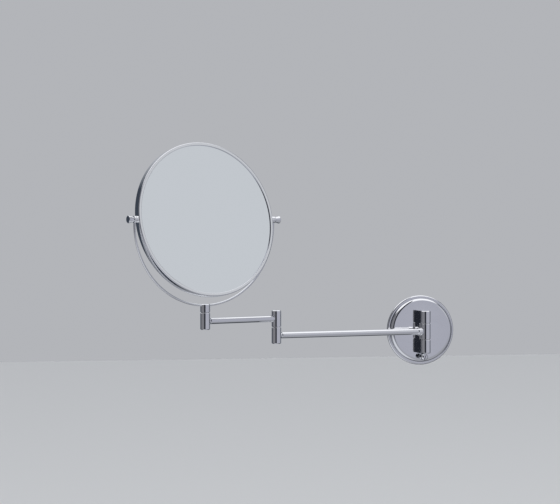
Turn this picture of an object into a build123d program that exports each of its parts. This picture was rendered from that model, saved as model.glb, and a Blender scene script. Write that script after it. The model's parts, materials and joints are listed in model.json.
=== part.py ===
"""Wall-mounted extendable shaving mirror: a double-sided round mirror in a yoke on a two-part arm.

Frame: millimetres, +Z up.  The wall is the plane Y = 0 and the object stands out of it towards -Y.
The origin is the centre of the round wall plate, on the wall.  The arms run towards -X.
"""
from build123d import *
import os

# ---- wall plate -------------------------------------------------------------------------------
plate_diameter = 95.6          # outer edge of the flange
flange_depth = 3.0
flange_width = 4.0             # from the plate's edge to the foot of the raised cover
face_depth = 8.5               # wall to the flat front of the cover
cover_wall = 1.4
shoulder_radius = 5.0          # round shoulder of the raised cover
groove_width = 1.3             # bright bead, groove, cover
groove_depth = 1.1
flange_round = 2.2
backplate_inset = 4.8          # backplate and carrier inside the foot of the cover
backplate_thickness = 4.0
wall_screw_spacing = 50.0      # two wall screws, side by side
wall_screw_hole = 5.0
wall_screw_head_room = 12.0
seat_gap = 0.1                 # flat pieces that are clamped together

# ---- cover screw ------------------------------------------------------------------------------
cover_screw_gap = 0.3          # below the bracket
cover_screw_head = 10.0
cover_screw_stem = 5.0
cover_screw_stem_length = 5.5  # cover to head
cover_screw_length = 10.0      # head, base to dome top
cover_screw_dome = 3.6
cover_screw_shank = 4.0
cover_screw_slot = (1.5, 1.6)  # width, depth
cover_screw_slot_turn = 25.0   # degrees from upright

# ---- barrels ----------------------------------------------------------------------------------
wall_barrel_diameter = 13.8
arm_barrel_diameter = 13.0
axis_offset = 25.8             # wall to the first upright axis
knuckle_height = 21.8
hub_height = 10.8
upper_ear_height = 16.9
lower_ear_height = 18.7
seam = 0.3                     # gap between knuckles, filled by a thin washer
washer_thickness = 0.2
washer_inset = 1.0             # inside the barrel's edge
edge_chamfer = 0.8
pin_diameter = 6.0
plug_rim = 1.0                 # plug over pin, all round
plug_thickness = 1.6
running_fit = 0.05             # radial, a pin that turns in its hole
fixed_fit = 0.02               # radial, a pin or plug that stays put
bracket_inset = 0.4            # block's sides inside the barrel's
knuckle_clearance = 0.5        # turning knuckle to the block behind it
bracket_screw_diameter = 4.0
bracket_screw_head = 7.2
bracket_screw_head_height = 1.8
bracket_screw_reach = 8.0      # into the block

# ---- arms -------------------------------------------------------------------------------------
arm_axis_height = -0.8         # long arm's axis, from the plate's centre
long_arm_length = 233.3        # first axis to elbow axis
short_arm_length = 123.2       # elbow axis to mirror axis
tube_diameter = 8.5
tube_wall = 1.0
tube_end_round = 0.45
neck_length = 1.2              # bare neck between a barrel and its tube
spigot_length = 9.0            # neck's continuation into the tube
collar_wall = 0.95
collar_length = 5.5
collar_standoff = 0.6

# ---- yoke -------------------------------------------------------------------------------------
bow_leg = 5.6                  # straight leg from the half circle up to the tilt axis
bow_rod = 2.8
bow_sink = 1.6                 # rod's centre line below the hub's top
bow_channel_overrun = 0.5      # channel past the hub, each side
bow_floor = 1.6                # hub between the rod and the pin's bore
pin_end_gap = 1.4
ear_diameter = 9.0
ear_thickness = 2.8
ear_round = 0.35

# ---- mirror head ------------------------------------------------------------------------------
head_diameter = 200.0
head_thickness = 11.0
bezel_width = 4.0
bezel_thickness = 1.4
bezel_outer_round = 1.1
bezel_inner_round = 0.6
band_wall = 1.2
skirt_wall = 1.0
glass_thickness = 2.0
glass_clearance = 0.2
magnifier_sag = 3.0            # depth of the concave side
pad_gap = 0.3                  # pad to the bent glass
retainer_width = 5.4
pivot_screw_diameter = 3.2
boss_depth = 6.0               # into the head
boss_length = 9.0              # along its edge
spacer_diameter = 9.0
spacer_length = 2.35           # head to the yoke's ear
knob_inner_diameter = 7.2
knob_outer_diameter = 10.4
knob_length = 7.0
knob_neck_diameter = 5.0
knob_neck_length = 1.0
knob_round = 0.9
knob_screw_cover = 2.0         # solid end of the knob past the screw

# ---- pose of the modelled rest position, degrees ----------------------------------------------
long_arm_turn = 15.0           # long arm out from the wall
short_arm_turn = 28.4          # short arm out from the wall
yoke_turn = 19.5               # tilt axis from the wall's horizontal
head_tilt = 11.0               # mirror face looks up

UP = (Align.CENTER, Align.CENTER, Align.MIN)


def upright(radius, bottom, top):
    """Cylinder about Z between two heights."""
    return Pos(0, 0, bottom) * Cylinder(radius, top - bottom, align=UP)


def along_x(radius, start, end):
    """Cylinder about X between two places."""
    return Pos(start, 0, 0) * Rot(0, 90, 0) * Cylinder(radius, end - start, align=UP)


def out_of_wall(radius, start, end):
    """Cylinder about Y that begins start in front of the wall and ends end in front of it."""
    return Pos(0, -start, 0) * Rot(90, 0, 0) * Cylinder(radius, end - start, align=UP)


def chamfered(radius, bottom, top, size):
    """Upright barrel with both end edges broken."""
    barrel = upright(radius, bottom, top)
    return chamfer(barrel.edges().filter_by(GeomType.CIRCLE), size)


def save(name, *solids, at=Location()):
    """Write one node: a piece, or a group of identical pieces, moved to its place."""
    placed = [at * solid for solid in solids]
    shape = placed[0] if len(placed) == 1 else Compound(children=placed)
    export_step(shape, f"parts/{name}.step")


# ---- heights and places that follow from the sizes above ----------------------------------------
wall_radius = wall_barrel_diameter / 2
barrel_radius = arm_barrel_diameter / 2
pin_radius = pin_diameter / 2
plug_radius = pin_radius + plug_rim
tube_radius = tube_diameter / 2
neck_radius = tube_radius - tube_wall - fixed_fit
bracket_width = wall_barrel_diameter - 2 * bracket_inset
foot_radius = plate_diameter / 2 - flange_width
backplate_radius = foot_radius - backplate_inset
head_radius = head_diameter / 2
bow_radius = head_radius + spacer_length + seat_gap + ear_thickness / 2    # centre line
level = knuckle_height + seam                       # height from one knuckle to the next
half = knuckle_height / 2
ear_top = half + seam + upper_ear_height            # from the long arm's axis
ear_bottom = -half - seam - lower_ear_height
hub_bottom = level + half + seam
hub_top = hub_bottom + hub_height
hub_bore_top = hub_top - bow_sink - bow_rod / 2 - bow_floor
tilt_axis_height = hub_top - bow_sink + bow_radius + bow_leg
cover_screw_height = arm_axis_height + ear_bottom - cover_screw_gap - cover_screw_head / 2

wall_axis = Location((0, -axis_offset, arm_axis_height))
long_arm = wall_axis * Location((0, 0, 0), (0, 0, 180 + long_arm_turn))
elbow_place = (long_arm * Location((long_arm_length, 0, 0))).position
short_arm = Location(elbow_place, (0, 0, 180 + short_arm_turn)) * Location((0, 0, level))
mirror_place = (short_arm * Location((short_arm_length, 0, -level))).position
swivel = Location(mirror_place, (0, 0, yoke_turn))
yoke = swivel * Location((0, 0, tilt_axis_height))
head = yoke * Location((0, 0, 0), (-head_tilt, 0, 0))


# ---- wall plate ---------------------------------------------------------------------------------
def wall_plate():
    plate_radius = plate_diameter / 2
    screw_x = wall_screw_spacing / 2
    cover_back = face_depth - cover_wall
    carrier_front = cover_back - seat_gap

    backplate = out_of_wall(backplate_radius, 0, backplate_thickness)
    carrier = out_of_wall(backplate_radius, backplate_thickness, carrier_front)
    for side in (-1, 1):
        hole = out_of_wall(wall_screw_hole / 2, 0, backplate_thickness)
        room = out_of_wall(wall_screw_head_room / 2, backplate_thickness, carrier_front)
        backplate -= Pos(side * screw_x, 0, 0) * hole
        carrier -= Pos(side * screw_x, 0, 0) * room

    # flange: a flat ring with a rounded outer bead and a groove beside the raised cover
    flange = out_of_wall(plate_radius, 0, flange_depth)
    flange -= out_of_wall(foot_radius - cover_wall, 0, flange_depth)
    rim = flange.edges().filter_by(GeomType.CIRCLE).sort_by(Axis.Y)[0:2].sort_by(SortBy.RADIUS)[-1]
    flange = fillet(rim, flange_round)
    groove = out_of_wall(foot_radius + groove_width, flange_depth - groove_depth, flange_depth)
    flange -= groove

    # raised cover: a pressed cup with a round shoulder, open towards the wall
    seat = flange_depth - groove_depth
    cup = out_of_wall(foot_radius, seat, face_depth)
    shoulder = cup.edges().filter_by(GeomType.CIRCLE).sort_by(Axis.Y)[0]
    cup = fillet(shoulder, shoulder_radius)
    hollow = out_of_wall(foot_radius - cover_wall, seat, cover_back)
    inner = hollow.edges().filter_by(GeomType.CIRCLE).sort_by(Axis.Y)[0]
    cup -= fillet(inner, shoulder_radius - cover_wall)

    # the visible screw goes through cover and carrier into the backplate
    screw_at = Pos(0, 0, cover_screw_height)
    shank_radius = cover_screw_shank / 2
    backplate -= screw_at * out_of_wall(shank_radius + fixed_fit, 0, backplate_thickness)
    carrier -= screw_at * out_of_wall(shank_radius + seat_gap, backplate_thickness, carrier_front)
    cup -= screw_at * out_of_wall(shank_radius + seat_gap, cover_back, face_depth)

    # two bracket screws, put in from behind the carrier
    shank = bracket_screw_diameter / 2
    pan_radius = bracket_screw_head / 2
    head_seat = backplate_thickness + seat_gap + bracket_screw_head_height
    screws = []
    for height in bracket_screw_heights():
        at = Pos(0, 0, height)
        carrier -= at * out_of_wall(pan_radius + seat_gap, backplate_thickness, head_seat)
        carrier -= at * out_of_wall(shank + seat_gap, backplate_thickness, carrier_front)
        cup -= at * out_of_wall(shank + seat_gap, cover_back, face_depth)
        pan = out_of_wall(pan_radius, backplate_thickness + seat_gap, head_seat)
        screws.append(at * (pan + out_of_wall(shank, head_seat, face_depth + bracket_screw_reach)))

    save("wall_backplate", backplate)
    save("carrier_plate", carrier)
    save("rose_flange", flange)
    save("rose_cover", cup)
    save("bracket_screws", *screws)
    save("cover_screw", screw_at * cover_screw())


def bracket_screw_heights():
    """One screw behind the middle of each fixed knuckle."""
    upper = arm_axis_height + ear_top - upper_ear_height / 2
    lower = arm_axis_height + ear_bottom + lower_ear_height / 2
    return upper, lower


def cover_screw():
    base = face_depth + seat_gap / 2
    head_base = base + cover_screw_stem_length
    tip = head_base + cover_screw_length
    screw = out_of_wall(cover_screw_head / 2, head_base, tip)
    crown = screw.edges().filter_by(GeomType.CIRCLE).sort_by(Axis.Y)[0]
    screw = fillet(crown, cover_screw_dome)
    width, depth = cover_screw_slot
    cut = Pos(0, -tip, 0) * Rot(0, cover_screw_slot_turn, 0) * Box(width, 2 * depth, 2 * cover_screw_head)
    stem = out_of_wall(cover_screw_stem / 2, base, head_base)
    return screw - cut + stem + out_of_wall(cover_screw_shank / 2, 0, base)


# ---- wall barrel --------------------------------------------------------------------------------
def wall_bracket():
    """Block from the cover to the barrel, with a fixed knuckle above and below the arm's knuckle."""
    depth = axis_offset - face_depth
    block = Pos(0, depth / 2, (ear_top + ear_bottom) / 2) * Box(bracket_width, depth, ear_top - ear_bottom)
    ears = chamfered(wall_radius, half + seam, ear_top, edge_chamfer)
    ears += chamfered(wall_radius, ear_bottom, -half - seam, edge_chamfer)
    room = 2 * (wall_radius + knuckle_clearance)
    window = Box(2 * bracket_width, room, knuckle_height + 2 * seam)
    bore = upright(pin_radius + fixed_fit, ear_bottom, ear_top)
    bracket = block - window + ears - bore
    bracket -= upright(plug_radius + fixed_fit, ear_top - plug_thickness, ear_top)
    bracket -= upright(plug_radius + fixed_fit, ear_bottom, ear_bottom + plug_thickness)
    for height in bracket_screw_heights():
        reach = out_of_wall(bracket_screw_diameter / 2 + fixed_fit, -depth, -depth + bracket_screw_reach)
        bracket -= Pos(0, 0, height - arm_axis_height) * reach
    return bracket


def washer(middle, radius):
    ring = upright(radius - washer_inset, middle - washer_thickness / 2, middle + washer_thickness / 2)
    return ring - upright(pin_radius + running_fit, middle - seam, middle + seam)


def wall_barrel():
    pin = upright(pin_radius, ear_bottom + plug_thickness, ear_top - plug_thickness)
    plugs = (
        upright(plug_radius, ear_top - plug_thickness, ear_top),
        upright(plug_radius, ear_bottom, ear_bottom + plug_thickness),
    )
    washers = washer(half + seam / 2, wall_radius), washer(-half - seam / 2, wall_radius)
    save("wall_bracket", wall_bracket(), at=wall_axis)
    save("wall_pivot_pin", pin, at=wall_axis)
    save("wall_pivot_washers", *washers, at=wall_axis)
    save("wall_barrel_plugs", *plugs, at=wall_axis)


# ---- arms ---------------------------------------------------------------------------------------
def spigot(radius):
    """Neck that leaves a barrel along +X and plugs into the tube."""
    return along_x(neck_radius, 0, radius + neck_length + spigot_length)


def knuckle(radius, bore_radius):
    """Turned barrel with its arm's spigot, bored for the pin."""
    body = chamfered(radius, -half, half, edge_chamfer) + spigot(radius)
    return body - upright(bore_radius, -half, half)


def tube(start, end):
    bore_radius = tube_radius - tube_wall
    pipe = along_x(tube_radius, start, end)
    pipe = fillet(pipe.edges().filter_by(GeomType.CIRCLE), tube_end_round)
    return pipe - along_x(bore_radius, start, end)


def long_arm_pieces():
    start = wall_radius + neck_length
    end = long_arm_length - barrel_radius - neck_length
    elbow = Location((long_arm_length, 0, 0))
    collar_start = wall_radius + collar_standoff
    collar = along_x(tube_radius + collar_wall, collar_start, collar_start + collar_length)
    collar -= along_x(tube_radius + fixed_fit, start, end)
    collar -= along_x(neck_radius + fixed_fit, 0, start)
    pin_bottom = -half + plug_thickness
    pin_top = level + half - plug_thickness
    lower = knuckle(barrel_radius, pin_radius + fixed_fit)
    lower -= upright(plug_radius + fixed_fit, -half, pin_bottom)

    save("long_arm_wall_knuckle", knuckle(wall_radius, pin_radius + running_fit), at=long_arm)
    save("long_arm_collar", collar, at=long_arm)
    save("long_arm_tube", tube(start, end), at=long_arm)
    save("long_arm_elbow_knuckle", lower, at=long_arm * elbow * Rot(0, 0, 180))
    save("elbow_pin", upright(pin_radius, pin_bottom, pin_top), at=long_arm * elbow)
    save("elbow_bottom_plug", upright(plug_radius, -half, pin_bottom), at=long_arm * elbow)


def short_arm_pieces():
    start = barrel_radius + neck_length
    end = short_arm_length - barrel_radius - neck_length
    mirror = Location((short_arm_length, 0, 0))
    pin_bottom = -half + plug_thickness
    pin_top = hub_bore_top - level - pin_end_gap
    upper = knuckle(barrel_radius, pin_radius + running_fit)
    upper -= upright(plug_radius + fixed_fit, half - plug_thickness, half)
    outer = knuckle(barrel_radius, pin_radius + fixed_fit)
    outer -= upright(plug_radius + fixed_fit, -half, pin_bottom)

    save("short_arm_elbow_knuckle", upper, at=short_arm)
    save("elbow_top_plug", upright(plug_radius, half - plug_thickness + seat_gap, half), at=short_arm)
    save("elbow_washer", washer(-half - seam / 2, barrel_radius), at=short_arm)
    save("short_arm_tube", tube(start, end), at=short_arm)
    save("short_arm_mirror_knuckle", outer, at=short_arm * mirror * Rot(0, 0, 180))
    save("swivel_pin", upright(pin_radius, pin_bottom, pin_top), at=short_arm * mirror)
    save("swivel_bottom_plug", upright(plug_radius, -half, pin_bottom), at=short_arm * mirror)


# ---- yoke ---------------------------------------------------------------------------------------
def bow_arc(radius):
    """Lower half circle of the bow, about the tilt axis' middle."""
    section = Pos(bow_radius, 0) * Circle(radius)
    ring = revolve(Plane.XY * section, Axis.Y, 180)
    return Pos(0, 0, -bow_leg) * ring


def ears():
    inner = bow_radius - ear_thickness / 2
    hole = pivot_screw_diameter / 2 + running_fit
    right = along_x(ear_diameter / 2, inner, inner + ear_thickness)
    right = fillet(right.edges().filter_by(GeomType.CIRCLE), ear_round)
    right -= along_x(hole, inner, inner + ear_thickness)
    return right, Rot(0, 0, 180) * right


def yoke_pieces():
    rod = bow_rod / 2
    bow = bow_arc(rod)
    for side in (-1, 1):
        bow += Pos(side * bow_radius, 0, 0) * upright(rod, -bow_leg, 0)
        bow -= Rot(0, 0, 90 - 90 * side) * along_x(ear_diameter / 2, bow_radius - rod, bow_radius + rod)

    hub = chamfered(barrel_radius, hub_bottom, hub_top, edge_chamfer)
    hub -= upright(pin_radius + running_fit, hub_bottom, hub_bore_top)
    channel_length = arm_barrel_diameter + 2 * bow_channel_overrun
    channel = Box(channel_length, bow_rod + 2 * fixed_fit, bow_sink, align=UP)
    hub -= Pos(0, 0, hub_top - bow_sink) * channel
    hub -= Pos(0, 0, tilt_axis_height) * bow_arc(rod + fixed_fit)

    save("yoke_hub", hub, at=swivel)
    save("swivel_washer", washer(hub_bottom - seam / 2, barrel_radius), at=swivel)
    save("yoke_bow", bow, at=yoke)
    save("yoke_ears", *ears(), at=yoke)


# ---- mirror head --------------------------------------------------------------------------------
glass_front = head_thickness / 2 - bezel_thickness     # plane of each glass edge
skirt_length = glass_front - pivot_screw_diameter / 2 - seat_gap
skirt_radius = head_radius - band_wall - fixed_fit
glass_radius = skirt_radius - skirt_wall - glass_clearance
magnifier_radius = (glass_radius ** 2 + magnifier_sag ** 2) / (2 * magnifier_sag)


def bezel():
    """Ring with a rounded lip over the glass edge and a skirt inside the band, on the +Y side."""
    lip = Pos(head_radius - bezel_width / 2, glass_front + bezel_thickness / 2)
    lip *= Rectangle(bezel_width, bezel_thickness)
    lip = fillet(lip.vertices().group_by(Axis.Y)[-1].sort_by(Axis.X)[-1], bezel_outer_round)
    lip = fillet(lip.vertices().group_by(Axis.Y)[-1].sort_by(Axis.X)[0], bezel_inner_round)
    skirt = Pos(skirt_radius - skirt_wall / 2, glass_front - skirt_length / 2)
    skirt *= Rectangle(skirt_wall, skirt_length)
    return revolve(lip + skirt, Axis.Y)


def magnifier():
    """Bent glass whose hollow side faces +Y."""
    blank = out_of_wall(glass_radius, -glass_front, glass_front)
    centre = glass_front - magnifier_sag + magnifier_radius
    hollow = Pos(0, centre, 0) * Sphere(magnifier_radius)
    back = Pos(0, centre, 0) * Sphere(magnifier_radius + glass_thickness)
    return (blank & back) - hollow


def head_pieces():
    plain_back = -glass_front + glass_thickness
    band = out_of_wall(head_radius, -glass_front, glass_front)
    band -= out_of_wall(head_radius - band_wall, -glass_front, glass_front)
    plain = out_of_wall(glass_radius, -plain_back, glass_front)
    pad_radius = glass_radius - retainer_width - glass_clearance
    pad_back = glass_front - magnifier_sag - glass_thickness - pad_gap
    pad = out_of_wall(pad_radius, -pad_back, -plain_back)

    # retaining ring between the two glasses, hollowed to the magnifier's back
    ring = out_of_wall(glass_radius, -glass_front, -plain_back)
    ring -= out_of_wall(glass_radius - retainer_width, -glass_front, -plain_back)
    centre = glass_front - magnifier_sag + magnifier_radius
    ring -= Pos(0, centre, 0) * Sphere(magnifier_radius + glass_thickness + seat_gap / 2)

    boss_through = 2 * (glass_front - skirt_length)
    boss_end = head_radius - band_wall - fixed_fit
    screw_radius = pivot_screw_diameter / 2
    bosses, screws, spacers, knobs = [], [], [], []
    neck_start = bow_radius + ear_thickness / 2 + seat_gap
    knob_start = neck_start + knob_neck_length
    screw_end = knob_start + knob_length - knob_screw_cover
    for turn in (0, 180):
        at = Rot(0, turn, 0)
        seat = at * Pos(boss_end - boss_depth / 2, 0, 0)
        boss = seat * Box(boss_depth, boss_through, boss_length)
        boss &= out_of_wall(boss_end, -boss_through, boss_through)
        ring -= seat * Box(boss_depth + seat_gap, head_thickness, boss_length + 2 * seat_gap)
        screw_hole = at * along_x(screw_radius + fixed_fit, boss_end - boss_depth, screw_end)
        bosses.append(boss - screw_hole)
        band -= screw_hole
        screws.append(at * along_x(screw_radius, boss_end - boss_depth, screw_end))
        spacer = along_x(spacer_diameter / 2, head_radius, head_radius + spacer_length)
        spacers.append(at * spacer - screw_hole)
        knobs.append(at * knob(neck_start, knob_start) - screw_hole)

    save("head_band", band, at=head)
    save("front_bezel", Rot(180, 0, 0) * bezel(), at=head)
    save("back_bezel", bezel(), at=head)
    save("plain_glass", plain, at=head)
    save("magnifying_glass", magnifier(), at=head)
    save("backing_pad", pad, at=head)
    save("glass_retainer", ring, at=head)
    save("pivot_bosses", *bosses, at=head)
    save("pivot_screws", *screws, at=head)
    save("pivot_spacers", *spacers, at=head)
    save("pivot_knobs", *knobs, at=head)


def knob(neck_start, knob_start):
    """Flared knob about X: a thin neck, then a body that widens towards its outer end."""
    end = knob_start + knob_length
    outline = make_face(Polyline(
        (knob_start, 0),
        (end, 0),
        (end, knob_outer_diameter / 2),
        (knob_start, knob_inner_diameter / 2),
        close=True,
    ))
    body = revolve(outline, Axis.X)
    rims = body.edges().filter_by(GeomType.CIRCLE).sort_by(Axis.X)
    body = fillet(rims[-1], knob_round)
    return body + along_x(knob_neck_diameter / 2, neck_start, knob_start)


os.makedirs("parts", exist_ok=True)
wall_plate()
wall_barrel()
long_arm_pieces()
short_arm_pieces()
yoke_pieces()
head_pieces()
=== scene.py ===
"""Looks, light and camera for the wall-mounted extendable shaving mirror.

Every piece is the CAD model's own, so this script gives each node its finish and sets up the
studio.  Metres, in the CAD model's frame: the wall is Y = 0 and the mirror stands out towards -Y.
"""

import json
import math

import bpy
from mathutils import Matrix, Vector


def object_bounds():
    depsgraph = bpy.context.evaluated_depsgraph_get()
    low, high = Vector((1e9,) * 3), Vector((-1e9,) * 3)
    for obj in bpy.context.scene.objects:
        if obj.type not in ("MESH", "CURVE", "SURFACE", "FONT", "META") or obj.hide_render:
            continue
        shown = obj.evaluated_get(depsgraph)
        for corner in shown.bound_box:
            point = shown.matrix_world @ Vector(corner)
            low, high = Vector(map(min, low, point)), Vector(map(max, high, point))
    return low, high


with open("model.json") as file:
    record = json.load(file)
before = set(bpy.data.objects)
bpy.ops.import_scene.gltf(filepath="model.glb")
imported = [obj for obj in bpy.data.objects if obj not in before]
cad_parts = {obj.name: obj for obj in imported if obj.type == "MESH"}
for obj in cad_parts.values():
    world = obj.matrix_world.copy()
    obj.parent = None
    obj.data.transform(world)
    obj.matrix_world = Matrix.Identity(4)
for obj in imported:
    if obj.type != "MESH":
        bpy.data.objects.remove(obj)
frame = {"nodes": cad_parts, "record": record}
cad_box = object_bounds()

# ---- camera -----------------------------------------------------------------------------------
CAMERA_PLACE = (-0.9242, -2.8940, 0.1387)
CAMERA_TURN = 14.07            # degrees to the right of straight at the wall
CAMERA_RISE = -0.59
SENSOR = 36.0
LENS = 141.4
VIEW_DEPTH = 50.0

# ---- shading ----------------------------------------------------------------------------------
WELD_DISTANCE = 1e-6
CRISP_ANGLE = 28.0             # degrees; sharper edges stay crisp
NOISE_ROUGHNESS = 0.55
EDGE_POINTINESS = (0.53, 0.62)  # where wear begins and where it is full
CHROME_TINT = (0.86, 0.865, 0.875, 1)
CHROME_ROUGHNESS = (0.045, 0.095)

# ---- studio -----------------------------------------------------------------------------------
FLOOR_DROP = 0.35              # below the object's lowest point
FLOOR_SIZE = 12.0
FLOOR_COLOUR = (0.70, 0.71, 0.70, 1)
FLOOR_ROUGHNESS = 0.9
LAMP_AIM = Vector((-0.15, -0.08, 0.08))
# name, place, side, watts
LAMPS = (
    ("overhead", (0.56, -2.25, 4.5), 3.4, 48),
    ("side_panel", (3.24, -3.06, 1.98), 2.9, 30),
)
BACKDROP_COLOUR = (0.45, 0.46, 0.485, 1)
ROOM_COLOUR = (0.16, 0.17, 0.19, 1)
WALL_COLOUR = (0.045, 0.055, 0.075, 1)
WALL_SPREAD = (60, 110)        # degrees from straight at the wall, full and none
# What the chrome reflects, each laid over those before it: direction, full within and none beyond
# (degrees), upright strip or round patch, colour.
PANELS = (
    ((0.55, -0.80, 0), 42, 62, True, (0.43, 0.44, 0.51, 1)),
    ((-0.95, -0.30, 0), 30, 48, True, (0.20, 0.20, 0.22, 1)),
    ((0.757, -0.566, 0.322), 6, 14, False, (0.627, 0.645, 0.678, 1)),
    ((0, 0.15, 0.99), 42, 52, False, (1.12, 1.13, 1.18, 1)),
    ((-0.342, -0.940, 0), 12, 20, True, (0.018, 0.020, 0.028, 1)),
    ((-0.300, -0.840, -0.450), 14, 22, False, (0.24, 0.25, 0.29, 1)),
    ((0.25, -0.45, -0.86), 38, 56, False, (0.36, 0.37, 0.41, 1)),
    ((-0.60, -0.30, -0.74), 26, 46, False, (0.70, 0.72, 0.78, 1)),
    ((0.35, 0.65, -0.67), 22, 42, False, (0.02, 0.025, 0.03, 1)),
    ((0.26, 0.97, 0), 25, 50, False, (0.40, 0.42, 0.46, 1)),
)


def nodes_of(name):
    material = bpy.data.materials.new(name)
    material.use_nodes = True
    tree = material.node_tree
    return material, tree, tree.nodes["Principled BSDF"]


def object_noise(tree, scale, detail, stretch=(1, 1, 1)):
    """Noise in the object's own space, in metres."""
    place = tree.nodes.new("ShaderNodeTexCoord")
    mapping = tree.nodes.new("ShaderNodeMapping")
    mapping.inputs["Scale"].default_value = stretch
    noise = tree.nodes.new("ShaderNodeTexNoise")
    noise.inputs["Scale"].default_value = scale
    noise.inputs["Detail"].default_value = detail
    noise.inputs["Roughness"].default_value = NOISE_ROUGHNESS
    tree.links.new(place.outputs["Object"], mapping.inputs["Vector"])
    tree.links.new(mapping.outputs["Vector"], noise.inputs["Vector"])
    return noise.outputs["Fac"]


def remap(tree, value, low, high, to_low, to_high):
    node = tree.nodes.new("ShaderNodeMapRange")
    node.inputs["From Min"].default_value = low
    node.inputs["From Max"].default_value = high
    node.inputs["To Min"].default_value = to_low
    node.inputs["To Max"].default_value = to_high
    tree.links.new(value, node.inputs["Value"])
    return node.outputs["Result"]


def mix_colours(tree, factor, first, second):
    node = tree.nodes.new("ShaderNodeMix")
    node.data_type = "RGBA"
    node.inputs["A"].default_value = first
    node.inputs["B"].default_value = second
    tree.links.new(factor, node.inputs["Factor"])
    return node.outputs["Result"]


def layer(tree, factor, below, colour):
    """One plain colour laid over what is below, by a factor."""
    node = tree.nodes.new("ShaderNodeMix")
    node.data_type = "RGBA"
    node.inputs["B"].default_value = colour
    tree.links.new(factor, node.inputs["Factor"])
    tree.links.new(below, node.inputs["A"])
    return node.outputs["Result"]


def bump(tree, shader, height, strength, distance):
    node = tree.nodes.new("ShaderNodeBump")
    node.inputs["Strength"].default_value = strength
    node.inputs["Distance"].default_value = distance
    tree.links.new(height, node.inputs["Height"])
    tree.links.new(node.outputs["Normal"], shader.inputs["Normal"])


def edge_wear(tree):
    """0 on flats, 1 on convex edges."""
    geometry = tree.nodes.new("ShaderNodeNewGeometry")
    return remap(tree, geometry.outputs["Pointiness"], *EDGE_POINTINESS, 0, 1)


def darker(colour, share):
    return tuple(channel * share for channel in colour[:3]) + (1,)


def chrome(name):
    """Bright plating: faint haze in the tint, wiping marks in the gloss, buffed edges."""
    material, tree, shader = nodes_of(name)
    shader.inputs["Metallic"].default_value = 1.0
    haze = remap(tree, object_noise(tree, 28, detail=3), 0.3, 0.7, 0, 1)
    plating = mix_colours(tree, haze, CHROME_TINT, darker(CHROME_TINT, 0.97))
    colour = layer(tree, edge_wear(tree), plating, (0.93, 0.935, 0.94, 1))
    tree.links.new(colour, shader.inputs["Base Color"])
    smudge = object_noise(tree, 140, detail=6)
    tree.links.new(remap(tree, smudge, 0.35, 0.75, *CHROME_ROUGHNESS), shader.inputs["Roughness"])
    wiping = object_noise(tree, 420, detail=3, stretch=(1, 1, 6))
    bump(tree, shader, wiping, 0.012, 0.0001)
    return material


def mirror_glass(name):
    """Silvered glass: almost no haze, with a faint film near where fingers touch it."""
    material, tree, shader = nodes_of(name)
    shader.inputs["Metallic"].default_value = 1.0
    film = object_noise(tree, 18, detail=5)
    tint = (0.86, 0.885, 0.90, 1)
    tree.links.new(mix_colours(tree, film, tint, darker(tint, 0.992)), shader.inputs["Base Color"])
    tree.links.new(remap(tree, film, 0.45, 0.8, 0.012, 0.035), shader.inputs["Roughness"])
    return material


def steel(name, tint=(0.56, 0.57, 0.58, 1)):
    """Dull plated or ground steel: grain in colour and gloss, bright worn edges."""
    material, tree, shader = nodes_of(name)
    shader.inputs["Metallic"].default_value = 1.0
    grain = object_noise(tree, 300, detail=4)
    plating = mix_colours(tree, grain, tint, darker(tint, 0.75))
    tree.links.new(layer(tree, edge_wear(tree), plating, (0.72, 0.72, 0.72, 1)), shader.inputs["Base Color"])
    tree.links.new(remap(tree, grain, 0.3, 0.7, 0.28, 0.45), shader.inputs["Roughness"])
    bump(tree, shader, grain, 0.15, 0.0004)
    return material


def plastic(name, tint, roughness):
    """Moulded plastic or foam: fine grain, rubbed paler along its edges."""
    material, tree, shader = nodes_of(name)
    grain = object_noise(tree, 900, detail=2)
    body = mix_colours(tree, grain, tint, darker(tint, 0.85))
    rubbed = tuple(min(1, channel + 0.06) for channel in tint[:3]) + (1,)
    tree.links.new(layer(tree, edge_wear(tree), body, rubbed), shader.inputs["Base Color"])
    tree.links.new(remap(tree, grain, 0.3, 0.7, roughness, roughness + 0.1), shader.inputs["Roughness"])
    bump(tree, shader, grain, 0.1, 0.0002)
    return material


def even_normals(piece):
    """Even shading across the fine facets of rounds, with crisp edges where faces meet sharply."""
    weld = piece.modifiers.new("weld", "WELD")
    weld.merge_threshold = WELD_DISTANCE
    split = piece.modifiers.new("crisp_edges", "EDGE_SPLIT")
    split.split_angle = math.radians(CRISP_ANGLE)
    weighted = piece.modifiers.new("even_normals", "WEIGHTED_NORMAL")
    weighted.mode = "FACE_AREA_WITH_ANGLE"
    weighted.keep_sharp = True


def dress():
    """Give each CAD node the finish that its material slot names."""
    finishes = {
        "chrome": chrome("polished_chrome"),
        "zinc_plated_steel": steel("zinc_plated_steel"),
        "steel_pin": steel("ground_steel", (0.5, 0.5, 0.52, 1)),
        "washer_plastic": plastic("acetal_washer", (0.82, 0.82, 0.80, 1), 0.4),
        "mirror_glass": mirror_glass("silvered_glass"),
        "pad": plastic("foam_pad", (0.03, 0.03, 0.03, 1), 0.8),
        "retainer_plastic": plastic("black_retainer", (0.02, 0.02, 0.022, 1), 0.45),
    }
    for part in frame["record"]["subparts"]:
        mesh = frame["nodes"][part["node"]].data
        mesh.materials.clear()
        mesh.materials.append(finishes[part["material_slot"]])
        if part["material_slot"] == "chrome":
            even_normals(frame["nodes"][part["node"]])


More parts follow.
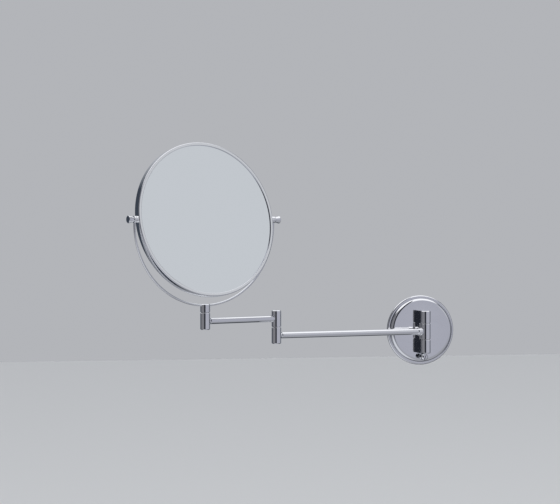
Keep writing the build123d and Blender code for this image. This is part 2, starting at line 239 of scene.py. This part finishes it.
def studio():
    """Pale floor under the object, the reflected room and two lamps that reflections do not show."""
    low = cad_box[0][2]
    bpy.ops.mesh.primitive_plane_add(size=FLOOR_SIZE, location=(0, 0, low - FLOOR_DROP))
    floor = bpy.context.object
    floor.name = "floor"
    floor.visible_glossy = False
    material, _, shader = nodes_of("pale_floor")
    shader.inputs["Base Color"].default_value = FLOOR_COLOUR
    shader.inputs["Roughness"].default_value = FLOOR_ROUGHNESS
    floor.data.materials.append(material)

    bpy.context.scene.world = studio_world()
    for lamp in LAMPS:
        add_light(*lamp)


def toward(tree, ray, direction, inner, outer, upright=False):
    """1 within the inner angle of a direction, 0 beyond the outer one, in degrees.

    An upright strip goes by the bearing alone.
    """
    if upright:
        level = tree.nodes.new("ShaderNodeVectorMath")
        level.operation = "MULTIPLY"
        level.inputs[1].default_value = (1, 1, 0)
        bearing = tree.nodes.new("ShaderNodeVectorMath")
        bearing.operation = "NORMALIZE"
        tree.links.new(ray, level.inputs[0])
        tree.links.new(level.outputs["Vector"], bearing.inputs[0])
        ray = bearing.outputs["Vector"]
    dot = tree.nodes.new("ShaderNodeVectorMath")
    dot.operation = "DOT_PRODUCT"
    dot.inputs[1].default_value = Vector(direction).normalized()
    tree.links.new(ray, dot.inputs[0])
    low = math.cos(math.radians(outer))
    high = math.cos(math.radians(inner))
    return remap(tree, dot.outputs["Value"], low, high, 0, 1)


def studio_world():
    """A dim room with soft panels in reflections; the camera itself sees a pale backdrop."""
    world = bpy.data.worlds.new("studio")
    world.use_nodes = True
    tree = world.node_tree
    ray = tree.nodes.new("ShaderNodeTexCoord").outputs["Generated"]
    wall = toward(tree, ray, (0, 1, 0), *WALL_SPREAD)
    room = mix_colours(tree, wall, ROOM_COLOUR, WALL_COLOUR)
    for direction, inner, outer, upright, colour in PANELS:
        room = layer(tree, toward(tree, ray, direction, inner, outer, upright), room, colour)
    path = tree.nodes.new("ShaderNodeLightPath").outputs["Is Camera Ray"]
    room = layer(tree, path, room, BACKDROP_COLOUR)
    tree.links.new(room, tree.nodes["Background"].inputs["Color"])
    return world


def add_light(name, place, size, power):
    lamp = bpy.data.lights.new(name, "AREA")
    lamp.shape = "SQUARE"
    lamp.size = size
    lamp.energy = power
    lamp_object = bpy.data.objects.new(name, lamp)
    bpy.context.scene.collection.objects.link(lamp_object)
    lamp_object.location = place
    lamp_object.visible_glossy = False
    aim = LAMP_AIM - Vector(place)
    lamp_object.rotation_euler = aim.to_track_quat("-Z", "Y").to_euler()


def colour_management():
    """Panels keep their own tones, so polished pieces are not washed out."""
    bpy.context.scene.view_settings.view_transform = "Standard"


def camera():
    lens = bpy.data.cameras.new("camera")
    lens.sensor_width = SENSOR
    lens.lens = LENS
    lens.clip_end = VIEW_DEPTH
    eye = bpy.data.objects.new("camera", lens)
    bpy.context.scene.collection.objects.link(eye)
    eye.location = CAMERA_PLACE
    eye.rotation_euler = (math.radians(90 + CAMERA_RISE), 0, math.radians(-CAMERA_TURN))
    bpy.context.scene.camera = eye


dress()
studio()
colour_management()
camera()
